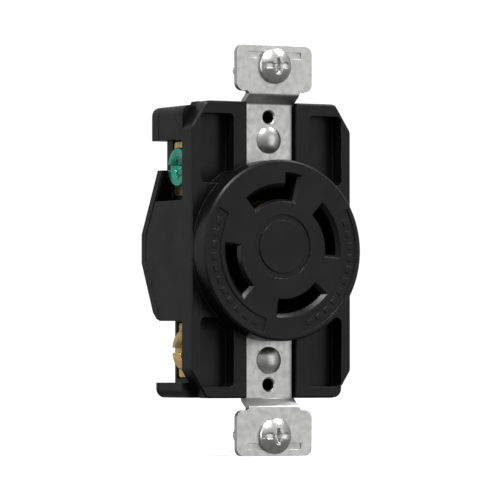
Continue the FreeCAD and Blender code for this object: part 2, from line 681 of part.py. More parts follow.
def flange_slab(z, rear):
    """A slab of the rear cover behind one flange, its outer rear edges rounded."""
    slab = body_block((PARTING, rear)).common(box((-THROUGH, THROUGH), (-THROUGH, THROUGH), z))
    inner_z = min(z, key=abs)
    outer = [e for e in slab.Edges if lies_at_y(e, rear) and not lies_at_z(e, inner_z)]
    return slab.makeFillet(SLAB_RADIUS, outer)


# ---------------------------------------------------------------- strap and rivets


def strap_side_view(sign):
    """One end's bent strip, seen from the side, as (y, z) points from the plate to the ear's tip."""
    rear = STRAP_FRONT + STRAP_THICK
    front_line = [(STRAP_FRONT, 0.0), (STRAP_FRONT, BEND_START)]
    front_line += [(-STRAP_THICK, BEND_END), (-STRAP_THICK, EAR_TOP)]
    slope = math.atan2(BEND_END - BEND_START, STRAP_FRONT + STRAP_THICK)
    lead = STRAP_THICK * math.tan((math.pi / 2 - slope) / 2)
    rear_line = [(0.0, EAR_TOP), (0.0, BEND_END + lead), (rear, BEND_START + lead), (rear, 0.0)]
    return [(y, sign * z) for y, z in front_line + rear_line]


def strap_front_view(sign):
    """One end's outline, seen from the front, with the waisted neck under its ear."""
    narrow = box((-STRAP_HALF_WIDTH, STRAP_HALF_WIDTH), (-5.0, 5.0), mirrored(sign, 0.0, BEND_START))
    neck = box((-NECK_HALF_WIDTH, NECK_HALF_WIDTH), (-5.0, 5.0), mirrored(sign, BEND_START, EAR_BOTTOM + 1))
    ear_z = mirrored(sign, EAR_BOTTOM, EAR_TOP)
    ear = rounded_box((-EAR_HALF_WIDTH, EAR_HALF_WIDTH), (-5.0, 5.0), ear_z, EAR_CORNER, INTO_WALL)
    whole = neck.fuse(ear).removeSplitter()
    inside = [
        e
        for e in whole.Edges
        if along(e, INTO_WALL)
        and abs(abs(e.BoundBox.XMin) - NECK_HALF_WIDTH) < 1e-4
        and abs(abs(e.BoundBox.ZMin) - EAR_BOTTOM) < 1e-4
    ]
    whole = whole.makeFillet(NECK_FILLET, inside)
    return narrow.fuse(whole).removeSplitter()


def ear_slot(sign):
    """The crosswise slot that lets the device be set level."""
    height = sign * SCREW_SPACING / 2
    reach = EAR_SLOT_LENGTH / 2 - EAR_SLOT_HALF_HEIGHT
    ends = [rod_y(EAR_SLOT_HALF_HEIGHT, (-5.0, 5.0), x, height) for x in (-reach, reach)]
    z = (height - EAR_SLOT_HALF_HEIGHT, height + EAR_SLOT_HALF_HEIGHT)
    return ends[0].fuse([ends[1], box((-reach, reach), (-5.0, 5.0), z)])


def mounting_strap():
    halves = []
    for sign in (1, -1):
        bent = prism_x(strap_side_view(sign), (-EAR_HALF_WIDTH, EAR_HALF_WIDTH))
        corners = [
            e
            for e in bent.Edges
            if along(e, ALONG_X) and BEND_START - 1 < abs(e.BoundBox.ZMin) < BEND_END + 1.5
        ]
        bent = bent.makeFillet(BEND_RADIUS, corners)
        halves.append(bent.common(strap_front_view(sign)))
    hub = rod_y(STRAP_HUB_RADII[1], (STRAP_FRONT, STRAP_FRONT + STRAP_THICK))
    strap = halves[0].fuse([halves[1], hub]).removeSplitter()
    level = (-5.0, 5.0)
    cuts = [rod_y(STRAP_HUB_RADII[0], level)]
    hook_way = (HOOK_ANGLES[0] - HOOK_STRAP_MARGIN, HOOK_ANGLES[1] + HOOK_STRAP_MARGIN)
    cuts.append(sector((SLOT_RADII[0], HOOK_FRONT_RADIUS + HOOK_ROOM), hook_way, level))
    for sign in (1, -1):
        cuts.append(ear_slot(sign))
        tap_z = sign * COVER_SPACING / 2
        cuts.append(rod_y(COVER_TAP_RADIUS, level, 0.0, tap_z))
        mouth_radius = COVER_TAP_RADIUS + COVER_TAP_MOUTH
        mouth_at = V(0, STRAP_FRONT, tap_z)
        cuts.append(Part.makeCone(mouth_radius, COVER_TAP_RADIUS, COVER_TAP_MOUTH, mouth_at, INTO_WALL))
        groove_z = mirrored(sign, *EAR_GROOVE_Z)
        groove_y = (-5.0, -STRAP_THICK + EAR_GROOVE_DEPTH)
        groove_x = (-EAR_GROOVE_HALF, EAR_GROOVE_HALF)
        cuts.append(rounded_box(groove_x, groove_y, groove_z, EAR_GROOVE_CORNER, INTO_WALL))
    for height in RIVET_HEIGHTS.values():
        cuts.append(rivet_hole(height, level))
    return strap.cut(cuts)


def dome(radius, rim, crown, seat, facing):
    """A domed head: a short straight rim on its seat, then a spherical cap up to the crown."""
    sagitta = crown - rim
    sphere = (radius**2 + sagitta**2) / (2 * sagitta)
    base = Part.makeCylinder(radius, rim, V(0, seat, 0), V(0, facing, 0))
    centre_y = seat + facing * (crown - sphere)
    ball = Part.makeSphere(sphere, V(0, centre_y, 0))
    reach = Part.makeCylinder(radius, crown + 1, V(0, seat, 0), V(0, facing, 0))
    return base.fuse(ball.common(reach)).removeSplitter()


def strap_rivet(height, rear):
    """Domed head on the strap, shank through the housings, and a clinched tail in the rear cover's well."""
    head = dome(RIVET_HEAD_RADIUS, RIVET_RIM, RIVET_HEAD_HEIGHT, STRAP_FRONT, -1)
    tail_seat = rear - RIVET_TAIL_HEIGHT - RIVET_TAIL_SUNK
    shank = rod_y(RIVET_RADIUS, (STRAP_FRONT - 0.2, tail_seat + 0.2))
    tail_rear = tail_seat + RIVET_TAIL_HEIGHT
    tail = rod_y(RIVET_TAIL_RADIUS, (tail_seat, tail_rear))
    tail = tail.makeFillet(RIVET_TAIL_EDGE, [e for e in tail.Edges if lies_at_y(e, tail_rear)])
    mouth, floor, depth = RIVET_DIMPLE["mouth"], RIVET_DIMPLE["floor"], RIVET_DIMPLE["depth"]
    dimple = Part.makeCone(mouth, floor, depth, V(0, tail_rear, 0), V(0, -1, 0))
    rivet = head.fuse([shank, tail]).removeSplitter().cut(dimple)
    rivet.translate(V(0, 0, height))
    return rivet


# ---------------------------------------------------------------- contacts and terminals


def contact_profile():
    """The double-leaf contact's section as (radius, y): two leaves that pinch the blade, and a base."""
    mouth_y, pinch_y, base_y = LEAF_MOUTH_Y, LEAF_PINCH_Y, LEAF_BASE_Y
    outer_back = [(LEAF_OUTER, base_y), (LEAF_PINCH, pinch_y), (LEAF_OUTER, mouth_y)]
    outer_front = [(r - LEAF_THICK, y) for r, y in reversed(outer_back)]
    inner_back = [(LEAF_INNER_MOUTH, mouth_y), (LEAF_INNER_PINCH, pinch_y), (LEAF_INNER, base_y)]
    inner_front = [(r + LEAF_THICK, y) for r, y in reversed(inner_back)]
    floor = [(LEAF_OUTER - LEAF_THICK, TAIL_Y[0]), (LEAF_INNER + LEAF_THICK, TAIL_Y[0])]
    base = [(LEAF_INNER, TAIL_Y[1]), (LEAF_OUTER, TAIL_Y[1])]
    return inner_back + base + outer_back + outer_front + floor + inner_front


def contact(terminal):
    """Leaves behind the blade slot, base, tail strip and terminal tab, stamped from one brass strip."""
    angles = (terminal.slot[0] + CONTACT_END_MARGIN, terminal.slot[1] - CONTACT_END_MARGIN)
    leaves = swept(contact_profile(), angles)
    tail = prism_y(tail_outline(terminal), TAIL_Y)
    tab_x = mirrored(terminal.side, terminal.tab_inner(), terminal.tab_outer())
    tab = box(tab_x, TAB_Y, terminal.tab_z())
    pieces = [tail, tab]
    outward = mirrored(terminal.side, 0.0, HALF_WIDTH)
    cuts = [rod_x(TERMINAL_SCREW_RADIUS + TAB_HOLE_ROOM, outward, SCREW_Y, terminal.screw_z)]
    if terminal.name == "ground":
        pieces.append(ground_lug(LUG_Y))
        cuts.append(rivet_hole(RIVET_HEIGHTS["upper"], (0.0, THROUGH)))
    return leaves.fuse(pieces).removeSplitter().cut(cuts)


def contact_spring(terminal):
    """A steel leaf that backs the contact's outer leaf."""
    back, waist = LEAF_OUTER + GAP, LEAF_PINCH + GAP
    inside = [(back, SPRING_REAR), (back, LEAF_BASE_Y), (waist, LEAF_PINCH_Y)]
    outside = [(r + SPRING_THICK, y) for r, y in reversed(inside)]
    low, high = terminal.slot
    bare = (high - low) * SPRING_SHARE
    return swept(inside + outside, (low + bare, high - bare))


def terminal_nut(terminal):
    """The tapped plate behind the tab that the terminal screw threads into."""
    x = mirrored(terminal.side, terminal.tab_inner() - NUT_THICK, terminal.tab_inner())
    z = (terminal.screw_z - NUT_HALF_HEIGHT, terminal.screw_z + NUT_HALF_HEIGHT)
    plate = rounded_box(x, NUT_Y, z, NUT_CORNER, ALONG_X)
    thread_radius = TERMINAL_SCREW_RADIUS + NUT_HOLE_ROOM
    return plate.cut(rod_x(thread_radius, (x[0] - 1, x[1] + 1), SCREW_Y, terminal.screw_z))


def pressure_plate(terminal):
    """The clamping plate under the screw head, with teeth across its inner face to bite the wires."""
    x = mirrored(terminal.side, terminal.plate_inner(), terminal.seat() - GAP)
    plate = rounded_box(x, PLATE_Y, terminal.plate_z, PLATE_CORNER, ALONG_X)
    hole_radius = TERMINAL_SCREW_RADIUS + PLATE_HOLE_ROOM
    cuts = [rod_x(hole_radius, (x[0] - 1, x[1] + 1), SCREW_Y, terminal.screw_z)]
    count = int((terminal.plate_z[1] - terminal.plate_z[0] - 1.0) / SERRATION_PITCH)
    inner_x = terminal.side * terminal.plate_inner()
    depth_x = inner_x + terminal.side * SERRATION_DEPTH
    first = (terminal.plate_z[0] + terminal.plate_z[1] - (count - 1) * SERRATION_PITCH) / 2
    for i in range(count):
        z = first + i * SERRATION_PITCH
        if abs(z - terminal.screw_z) < TERMINAL_SCREW_RADIUS + SERRATION_CLEAR:
            continue
        edges = (z - SERRATION_HALF_WIDTH, z + SERRATION_HALF_WIDTH)
        tooth = [V(inner_x, 0, edges[0]), V(inner_x, 0, edges[1]), V(depth_x, 0, z)]
        notch = Part.Face(Part.makePolygon(tooth + tooth[:1])).extrude(V(0, THROUGH, 0))
        cuts.append(notch)
    return plate.cut(cuts)


def cross_arm(reach, depth, turned):
    """One arm of the tapering cross, along X or turned along Z, open at the top."""
    one_side = [(reach, -CROSS_ARM_HALF), (reach, CROSS_ARM_HALF)]
    half = one_side + [(-x, -z) for x, z in one_side]
    small = [(x * CROSS_TAPER_LENGTH, z * CROSS_TAPER_WIDTH) for x, z in half]
    if turned:
        half = [(z, x) for x, z in half]
        small = [(z, x) for x, z in small]
    top = Part.makePolygon([V(x, 0, z) for x, z in half + half[:1]])
    bottom = Part.makePolygon([V(x, depth, z) for x, z in small + small[:1]])
    return Part.makeLoft([top, bottom], True, True).fuse(prism_y(half, (-1.0, 0.0)))


def drive_recess(head_radius, depth, slot_width, slot_depth):
    """A combination drive in a head that faces -Y at y = 0: one screwdriver slot and a tapering cross."""
    slot_z = (-slot_width / 2, slot_width / 2)
    slot = box((-head_radius - 1, head_radius + 1), (-1.0, slot_depth), slot_z)
    reach = head_radius * CROSS_REACH
    return slot.fuse([cross_arm(reach, depth, turned) for turned in (False, True)])


def terminal_screw(terminal):
    """A binding-head screw along X, turned to face away from the middle plane, backed out as sold."""
    head_front = -TERMINAL_SCREW_HEAD_HEIGHT
    head = rod_y(TERMINAL_SCREW_HEAD, (head_front, 0.0))
    head = head.makeFillet(TERMINAL_SCREW_EDGE, [e for e in head.Edges if lies_at_y(e, head_front)])
    shank = rod_y(TERMINAL_SCREW_RADIUS, (-0.2, TERMINAL_SCREW_LENGTH))
    tip_edges = [e for e in shank.Edges if lies_at_y(e, TERMINAL_SCREW_LENGTH)]
    shank = shank.makeChamfer(SCREW_TIP_CHAMFER, tip_edges)
    drive = drive_recess(TERMINAL_SCREW_HEAD, **TERMINAL_DRIVE)
    drive.translate(V(0, head_front, 0))
    screw = head.fuse(shank).removeSplitter().cut(drive)
    screw.rotate(ORIGIN, V(0, 0, 1), 90.0 if terminal.side > 0 else -90.0)
    screw.translate(V(terminal.side * terminal.seat(), SCREW_Y, terminal.screw_z))
    return screw


# ---------------------------------------------------------------- mounting hardware


def mounting_screw(sign):
    """A domed-head machine screw held loosely in the ear's slot."""
    head = dome(STUD_HEAD_RADIUS, STUD_HEAD_RIM, STUD_HEAD_HEIGHT, STUD_HEAD_SEAT, -1)
    neck = rod_y(STUD_NECK_RADIUS, (STUD_HEAD_SEAT - 0.2, STUD_NECK_END + 0.1))
    tip_y = STUD_HEAD_SEAT + STUD_LENGTH
    thread = rod_y(STUD_RADIUS, (STUD_NECK_END, tip_y))
    thread = thread.makeChamfer(STUD_TIP_CHAMFER, [e for e in thread.Edges if lies_at_y(e, tip_y)])
    drive = drive_recess(STUD_HEAD_RADIUS, **MOUNTING_DRIVE)
    drive.translate(V(0, STUD_HEAD_SEAT - STUD_HEAD_HEIGHT, 0))
    screw = head.fuse([neck, thread]).removeSplitter().cut(drive)
    screw.translate(V(0, 0, sign * SCREW_SPACING / 2))
    return screw


def screw_retainer(sign):
    """The fibre washer pushed on behind an ear so that the screw can't fall out."""
    height = sign * SCREW_SPACING / 2
    washer = rod_y(RETAINER_RADIUS, RETAINER_Y, 0.0, height)
    return washer.cut(rod_y(STUD_NECK_RADIUS + RETAINER_CLEARANCE, (-1.0, 3.0), 0.0, height))


def build():
    os.makedirs("parts", exist_ok=True)
    export(front_housing(), "front_housing")
    export(contact_housing(), "contact_housing")
    export(rear_cover(), "rear_cover")
    export(mounting_strap(), "mounting_strap")
    export(strap_rivet(RIVET_HEIGHTS["upper"], TOP_SLAB_REAR), "strap_rivet_upper")
    export(strap_rivet(RIVET_HEIGHTS["lower"], BOTTOM_SLAB_REAR), "strap_rivet_lower")
    for terminal in TERMINALS:
        export(contact(terminal), terminal.name + "_contact")
        export(contact_spring(terminal), terminal.name + "_contact_spring")
        export(terminal_nut(terminal), terminal.name + "_terminal_nut")
        export(pressure_plate(terminal), terminal.name + "_pressure_plate")
        export(terminal_screw(terminal), terminal.name + "_terminal_screw")
    for place, sign in (("upper", 1), ("lower", -1)):
        export(mounting_screw(sign), "mounting_screw_" + place)
        export(screw_retainer(sign), "screw_retainer_" + place)


build()
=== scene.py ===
"""Dresses a flush locking receptacle: nylon housings, plated strap, brass terminals, threaded screws.

Lengths are metres in the CAD model's own frame: X right, Z up, +Y into the wall.
Sizes in the classes below are millimetres, turned to metres by MM.
"""

import logging
import math
from dataclasses import dataclass
from enum import Enum
from typing import Any

import bmesh
import bpy
import numpy as np
from mathutils import Matrix, Vector


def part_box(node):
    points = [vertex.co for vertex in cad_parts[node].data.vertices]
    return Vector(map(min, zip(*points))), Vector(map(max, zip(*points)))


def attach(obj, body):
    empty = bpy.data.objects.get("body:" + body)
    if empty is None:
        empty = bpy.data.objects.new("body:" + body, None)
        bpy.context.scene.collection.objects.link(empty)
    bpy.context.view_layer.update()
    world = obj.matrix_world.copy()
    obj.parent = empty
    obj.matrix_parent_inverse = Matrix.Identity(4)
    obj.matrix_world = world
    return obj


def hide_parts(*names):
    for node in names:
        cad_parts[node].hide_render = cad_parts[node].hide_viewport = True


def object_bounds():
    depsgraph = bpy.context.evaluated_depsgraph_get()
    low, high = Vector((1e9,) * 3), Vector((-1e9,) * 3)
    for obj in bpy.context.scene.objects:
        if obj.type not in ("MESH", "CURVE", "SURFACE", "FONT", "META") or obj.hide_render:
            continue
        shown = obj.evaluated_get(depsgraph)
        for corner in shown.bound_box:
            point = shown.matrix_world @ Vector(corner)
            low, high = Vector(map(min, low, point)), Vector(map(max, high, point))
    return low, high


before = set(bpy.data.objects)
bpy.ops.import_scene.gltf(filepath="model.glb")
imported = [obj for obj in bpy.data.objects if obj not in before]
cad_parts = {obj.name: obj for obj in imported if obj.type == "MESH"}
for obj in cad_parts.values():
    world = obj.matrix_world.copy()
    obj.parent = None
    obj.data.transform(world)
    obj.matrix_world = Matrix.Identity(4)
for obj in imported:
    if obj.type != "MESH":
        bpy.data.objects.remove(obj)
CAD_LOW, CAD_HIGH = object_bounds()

MM = 0.001
MERGE = 0.002  # millimetres within which a CAD copy's loose corners are one
CREASE = 32.0  # degrees past which a new piece's edges stay sharp
HEAD_OVERLAP = 0.15  # how far a threaded shank runs into its head

THREAD_SIDES = 56
RINGS_PER_PITCH = 14
RIDGE_GAIN = 1.35  # together with the offset, flattens the ridge's crest and root
RIDGE_OFFSET = 0.17
TIP_SLOPE = 1.1

log = logging.getLogger("receptacle")


class Side(Enum):
    """Which way a terminal's screw head faces, as the sign of X."""

    LEFT = -1
    RIGHT = 1


class End(Enum):
    """Which ear of the strap a mounting screw sits in, as the sign of Z."""

    UPPER = 1
    LOWER = -1


# ------------------------------------------------------------------ node helpers


def linear(code: str) -> tuple[float, float, float, float]:
    """Turn an sRGB hex colour to the linear values that shaders take.

    Args:
        code: Six hex digits after a hash.

    Returns:
        Red, green, blue and an alpha of one.
    """
    channels = [int(code[i : i + 2], 16) / 255 for i in (1, 3, 5)]
    light = [c / 12.92 if c <= 0.04045 else ((c + 0.055) / 1.055) ** 2.4 for c in channels]
    return light[0], light[1], light[2], 1.0


def add(
    tree: bpy.types.NodeTree, kind: str, settings: dict[str, Any], inputs: dict[Any, Any]
) -> bpy.types.Node:
    """Add a node with its settings, and set or link its inputs.

    Args:
        tree: The node tree to add to.
        kind: The node's type name.
        settings: Attribute names and their values.
        inputs: Input names or numbers, each with a value or with the output socket that feeds it.

    Returns:
        The new node.
    """
    node = tree.nodes.new(kind)
    for name, value in settings.items():
        setattr(node, name, value)
    for key, value in inputs.items():
        if isinstance(value, bpy.types.NodeSocket):
            tree.links.new(value, node.inputs[key])
        else:
            node.inputs[key].default_value = value
    return node


def start_material(name: str) -> tuple[bpy.types.Material, bpy.types.NodeTree, bpy.types.Node, Any]:
    """Make a material with a bare Principled shader and the object's own coordinates.

    Args:
        name: The material's name.

    Returns:
        The material, its tree, its shader, and the coordinate output.
    """
    material = bpy.data.materials.new(name)
    material.use_nodes = True
    tree = material.node_tree
    shader = tree.nodes["Principled BSDF"]
    place = add(tree, "ShaderNodeTexCoord", {}, {}).outputs["Object"]
    return material, tree, shader, place


def soft_edges(tree: bpy.types.NodeTree, radius: float, reach: float) -> tuple[Any, Any]:
    """Round every sharp edge in the shading, and find where those edges are.

    The edge mask is one where the rounded normal leaves the face's own normal, and nought on flats.

    Args:
        tree: The node tree.
        radius: Edge radius in millimetres.
        reach: How far the two normals' dot product falls for a full mask.

    Returns:
        The rounded normal, and the edge mask.
    """
    bevel_samples = 6
    rounded = add(tree, "ShaderNodeBevel", {"samples": bevel_samples}, {"Radius": radius * MM}).outputs[0]
    face = add(tree, "ShaderNodeNewGeometry", {}, {}).outputs["Normal"]
    agree = add(tree, "ShaderNodeVectorMath", {"operation": "DOT_PRODUCT"}, {0: rounded, 1: face})
    mask = add(
        tree,
        "ShaderNodeMapRange",
        {"clamp": True},
        {
            "Value": agree.outputs["Value"],
            "From Min": 1.0,
            "From Max": 1.0 - reach,
            "To Min": 0.0,
            "To Max": 1.0,
        },
    )
    return rounded, mask.outputs["Result"]


# ------------------------------------------------------------------ finishes


@dataclass(frozen=True)
class MouldedNylon:
    """Black nylon 6/6, injection moulded in a spark-eroded tool.

    The eye sees a deep satin black with a fine matt grain, faint flow mottling in its gloss,
    edges painted a shade lighter as a painted highlight with a little rubbed wear, and a few hairline
    handling marks.
    """

    name: str = "nylon 66, moulded black"
    colour: str = "#0C0C0D"
    # painted highlight colour for the edges, and also the colour of the hairline handling marks
    highlight_and_mark: str = "#3A3A3C"
    ior: float = 1.53
    specular: float = 0.20
    roughness: float = 0.34
    gloss_spread: tuple[float, float] = (-0.06, 0.08)
    grain: float = 0.45  # millimetres; the real grain is about 0.1 and would not show
    mottle: float = 7.0
    mark_length: float = 6.0
    mark_width: float = 0.16
    mark_turn: tuple[float, float, float] = (0.3, 0.65, 0.2)
    mark_range: tuple[float, float] = (0.70, 0.78)
    mark_tone: float = 0.3
    mark_dulling: float = 0.12
    mark_height: float = 0.25
    edge_radius: float = 0.22
    edge_reach: float = 0.12
    relief: float = 0.22
    relief_depth: float = 0.05

    def make(self) -> bpy.types.Material:
        """Build the material."""
        material, tree, shader, place = start_material(self.name)
        shader.inputs["IOR"].default_value = self.ior
        shader.inputs["Specular IOR Level"].default_value = self.specular
        rounded, edge = soft_edges(tree, self.edge_radius, self.edge_reach)

        grain = add(
            tree,
            "ShaderNodeTexNoise",
            {},
            {"Vector": place, "Scale": 1 / (self.grain * MM), "Detail": 3.0, "Roughness": 0.6},
        ).outputs[0]
        mottle = add(
            tree,
            "ShaderNodeTexNoise",
            {},
            {"Vector": place, "Scale": 1 / (self.mottle * MM), "Detail": 4.0, "Roughness": 0.55},
        ).outputs[0]
        along, across = 1 / (self.mark_length * MM), 1 / (self.mark_width * MM)
        stretched = add(
            tree,
            "ShaderNodeMapping",
            {},
            {
                "Vector": place,
                "Rotation": self.mark_turn,
                "Scale": (along, across, across),
            },
        ).outputs[0]
        marks = add(
            tree,
            "ShaderNodeTexNoise",
            {},
            {"Vector": stretched, "Scale": 1.0, "Detail": 1.5, "Roughness": 0.5},
        ).outputs[0]
        hairline = add(
            tree,
            "ShaderNodeMapRange",
            {"clamp": True},
            {
                "Value": marks,
                "From Min": self.mark_range[0],
                "From Max": self.mark_range[1],
                "To Min": 0.0,
                "To Max": 1.0,
            },
        ).outputs[0]

        # Edges lightened towards the highlight colour, broken up by the mottle: a painted edge highlight with
        # a little rubbed wear.
        wear_and_edge_highlight = add(tree, "ShaderNodeMath", {"operation": "MULTIPLY"}, {0: edge, 1: mottle}).outputs[0]
        tone = add(
            tree,
            "ShaderNodeMix",
            {"data_type": "RGBA"},
            {0: wear_and_edge_highlight, 6: linear(self.colour), 7: linear(self.highlight_and_mark)},
        ).outputs[2]
        faint = add(
            tree, "ShaderNodeMath", {"operation": "MULTIPLY"}, {0: hairline, 1: self.mark_tone}
        ).outputs[0]
        marked = add(
            tree,
            "ShaderNodeMix",
            {"data_type": "RGBA"},
            {0: faint, 6: tone, 7: linear(self.highlight_and_mark)},
        ).outputs[2]
        tree.links.new(marked, shader.inputs["Base Color"])

        sheen = add(
            tree,
            "ShaderNodeMapRange",
            {"clamp": True},
            {
                "Value": mottle,
                "From Min": 0.3,
                "From Max": 0.7,
                "To Min": self.roughness + self.gloss_spread[0],
                "To Max": self.roughness + self.gloss_spread[1],
            },
        ).outputs[0]
        duller = add(
            tree,
            "ShaderNodeMath",
            {"operation": "MULTIPLY_ADD"},
            {0: hairline, 1: self.mark_dulling, 2: sheen},
        ).outputs[0]
        tree.links.new(duller, shader.inputs["Roughness"])

        height = add(
            tree, "ShaderNodeMath", {"operation": "MULTIPLY_ADD"}, {0: marks, 1: self.mark_height, 2: grain}
        ).outputs[0]
        bump = add(
            tree,
            "ShaderNodeBump",
            {},
            {
                "Strength": self.relief,
                "Distance": self.relief_depth * MM,
                "Height": height,
                "Normal": rounded,
            },
        ).outputs[0]
        tree.links.new(bump, shader.inputs["Normal"])
        return material


@dataclass(frozen=True)
class RolledMetal:
    """Metal made from rolled or drawn stock, bare or plated.

    The eye sees fine lines along the rolling direction, soft blotches where the plating took unevenly,
    small scratches across the lines, and edges that the shear or the barrel left brighter.
    """

    name: str
    colour: str
    blotch: str
    edge_colour: str
    roughness: float = 0.30
    line_width: float = 0.22  # millimetres; real rolling lines are finer and would not show
    line_length: float = 14.0
    along: tuple[float, float, float] = (0.0, 0.0, 1.0)
    blotch_size: float = 3.5
    blotch_range: tuple[float, float] = (0.42, 0.70)
    blotch_strength: float = 0.8
    gloss_spread: tuple[float, float] = (-0.06, 0.10)
    line_dulling: float = 0.14
    scratch_width: float = 0.12
    scratch_length: float = 3.2
    scratch_turn: tuple[float, float, float] = (0.0, 0.9, 0.35)
    scratch_range: tuple[float, float] = (0.66, 0.74)
    scratch_gloss: float = -0.10
    scratch_height: float = -0.5
    edge_radius: float = 0.10
    edge_reach: float = 0.15
    relief: float = 0.25
    relief_depth: float = 0.03

    def make(self) -> bpy.types.Material:
        """Build the material."""
        material, tree, shader, place = start_material(self.name)
        shader.inputs["Metallic"].default_value = 1.0
        rounded, edge = soft_edges(tree, self.edge_radius, self.edge_reach)

        across, lengthwise = 1 / (self.line_width * MM), 1 / (self.line_length * MM)
        stretch = tuple(lengthwise if part else across for part in self.along)
        rolled = add(tree, "ShaderNodeMapping", {}, {"Vector": place, "Scale": stretch}).outputs[0]
        lines = add(
            tree,
            "ShaderNodeTexNoise",
            {},
            {"Vector": rolled, "Scale": 1.0, "Detail": 3.0, "Roughness": 0.7},
        ).outputs[0]
        patches = add(
            tree,
            "ShaderNodeTexNoise",
            {},
            {"Vector": place, "Scale": 1 / (self.blotch_size * MM), "Detail": 5.0, "Roughness": 0.62},
        ).outputs[0]
        scratch_along, scratch_across = 1 / (self.scratch_length * MM), 1 / (self.scratch_width * MM)
        turned = add(
            tree,
            "ShaderNodeMapping",
            {},
            {
                "Vector": place,
                "Rotation": self.scratch_turn,
                "Scale": (scratch_along, scratch_across, scratch_across),
            },
        ).outputs[0]
        scratch_field = add(
            tree,
            "ShaderNodeTexNoise",
            {},
            {"Vector": turned, "Scale": 1.0, "Detail": 1.0, "Roughness": 0.5},
        ).outputs[0]
        scratches = add(
            tree,
            "ShaderNodeMapRange",
            {"clamp": True},
            {
                "Value": scratch_field,
                "From Min": self.scratch_range[0],
                "From Max": self.scratch_range[1],
                "To Min": 0.0,
                "To Max": 1.0,
            },
        ).outputs[0]

        patch_mask = add(
            tree,
            "ShaderNodeMapRange",
            {"clamp": True},
            {
                "Value": patches,
                "From Min": self.blotch_range[0],
                "From Max": self.blotch_range[1],
                "To Min": 0.0,
                "To Max": self.blotch_strength,
            },
        ).outputs[0]
        tone = add(
            tree,
            "ShaderNodeMix",
            {"data_type": "RGBA"},
            {0: patch_mask, 6: linear(self.colour), 7: linear(self.blotch)},
        ).outputs[2]
        finished = add(
            tree, "ShaderNodeMix", {"data_type": "RGBA"}, {0: edge, 6: tone, 7: linear(self.edge_colour)}
        ).outputs[2]
        tree.links.new(finished, shader.inputs["Base Color"])

        satin = add(
            tree,
            "ShaderNodeMapRange",
            {"clamp": True},
            {
                "Value": patches,
                "From Min": 0.3,
                "From Max": 0.7,
                "To Min": self.roughness + self.gloss_spread[0],
                "To Max": self.roughness + self.gloss_spread[1],
            },
        ).outputs[0]
        lined = add(
            tree, "ShaderNodeMath", {"operation": "MULTIPLY_ADD"}, {0: lines, 1: self.line_dulling, 2: satin}
        ).outputs[0]
        scored = add(
            tree,
            "ShaderNodeMath",
            {"operation": "MULTIPLY_ADD"},
            {0: scratches, 1: self.scratch_gloss, 2: lined},
        ).outputs[0]
        tree.links.new(scored, shader.inputs["Roughness"])

        height = add(
            tree,
            "ShaderNodeMath",
            {"operation": "MULTIPLY_ADD"},
            {0: scratches, 1: self.scratch_height, 2: lines},
        ).outputs[0]
        bump = add(
            tree,
            "ShaderNodeBump",
            {},
            {
                "Strength": self.relief,
                "Distance": self.relief_depth * MM,
                "Height": height,
                "Normal": rounded,
            },
        ).outputs[0]
        tree.links.new(bump, shader.inputs["Normal"])
        return material


@dataclass(frozen=True)
class DyedBrass:
    """Turned brass under a green lacquer dye, which marks the earth screw.

    The eye sees a clear metallic teal, deeper where the dye pooled, and rubbed to bare brass on the edges.
    """

    name: str = "brass, green dyed"
    colour: str = "#3DC0A2"
    pooled: str = "#1A8A70"
    bare: str = "#9DB27A"
    metallic: float = 0.75  # the dye lies over the metal
    coat: float = 0.35
    coat_roughness: float = 0.12
    roughness: float = 0.27
    gloss_spread: tuple[float, float] = (-0.05, 0.12)
    pool_size: float = 1.6
    turning_pitch: float = 0.28
    edge_radius: float = 0.10
    edge_reach: float = 0.2
    relief: float = 0.2
    relief_depth: float = 0.02

    def make(self) -> bpy.types.Material:
        """Build the material."""
        material, tree, shader, place = start_material(self.name)
        shader.inputs["Metallic"].default_value = self.metallic
        shader.inputs["Coat Weight"].default_value = self.coat
        shader.inputs["Coat Roughness"].default_value = self.coat_roughness
        rounded, edge = soft_edges(tree, self.edge_radius, self.edge_reach)
        pools = add(
            tree,
            "ShaderNodeTexNoise",
            {},
            {"Vector": place, "Scale": 1 / (self.pool_size * MM), "Detail": 4.0, "Roughness": 0.6},
        ).outputs[0]
        tone = add(
            tree,
            "ShaderNodeMix",
            {"data_type": "RGBA"},
            {0: pools, 6: linear(self.colour), 7: linear(self.pooled)},
        ).outputs[2]
        rub = add(tree, "ShaderNodeMath", {"operation": "MULTIPLY"}, {0: edge, 1: pools}).outputs[0]
        wear_and_edge_highlight = add(
            tree, "ShaderNodeMix", {"data_type": "RGBA"}, {0: rub, 6: tone, 7: linear(self.bare)}
        ).outputs[2]
        tree.links.new(wear_and_edge_highlight, shader.inputs["Base Color"])
        sheen = add(
            tree,
            "ShaderNodeMapRange",
            {"clamp": True},
            {
                "Value": pools,
                "From Min": 0.3,
                "From Max": 0.7,
                "To Min": self.roughness + self.gloss_spread[0],
                "To Max": self.roughness + self.gloss_spread[1],
            },
        ).outputs[0]
        tree.links.new(sheen, shader.inputs["Roughness"])
        fine = add(
            tree,
            "ShaderNodeTexNoise",
            {},
            {"Vector": place, "Scale": 1 / (self.turning_pitch * MM), "Detail": 2.0, "Roughness": 0.5},
        ).outputs[0]
        bump = add(
            tree,
            "ShaderNodeBump",
            {},
            {
                "Strength": self.relief,
                "Distance": self.relief_depth * MM,
                "Height": fine,
                "Normal": rounded,
            },
        ).outputs[0]
        tree.links.new(bump, shader.inputs["Normal"])
        return material


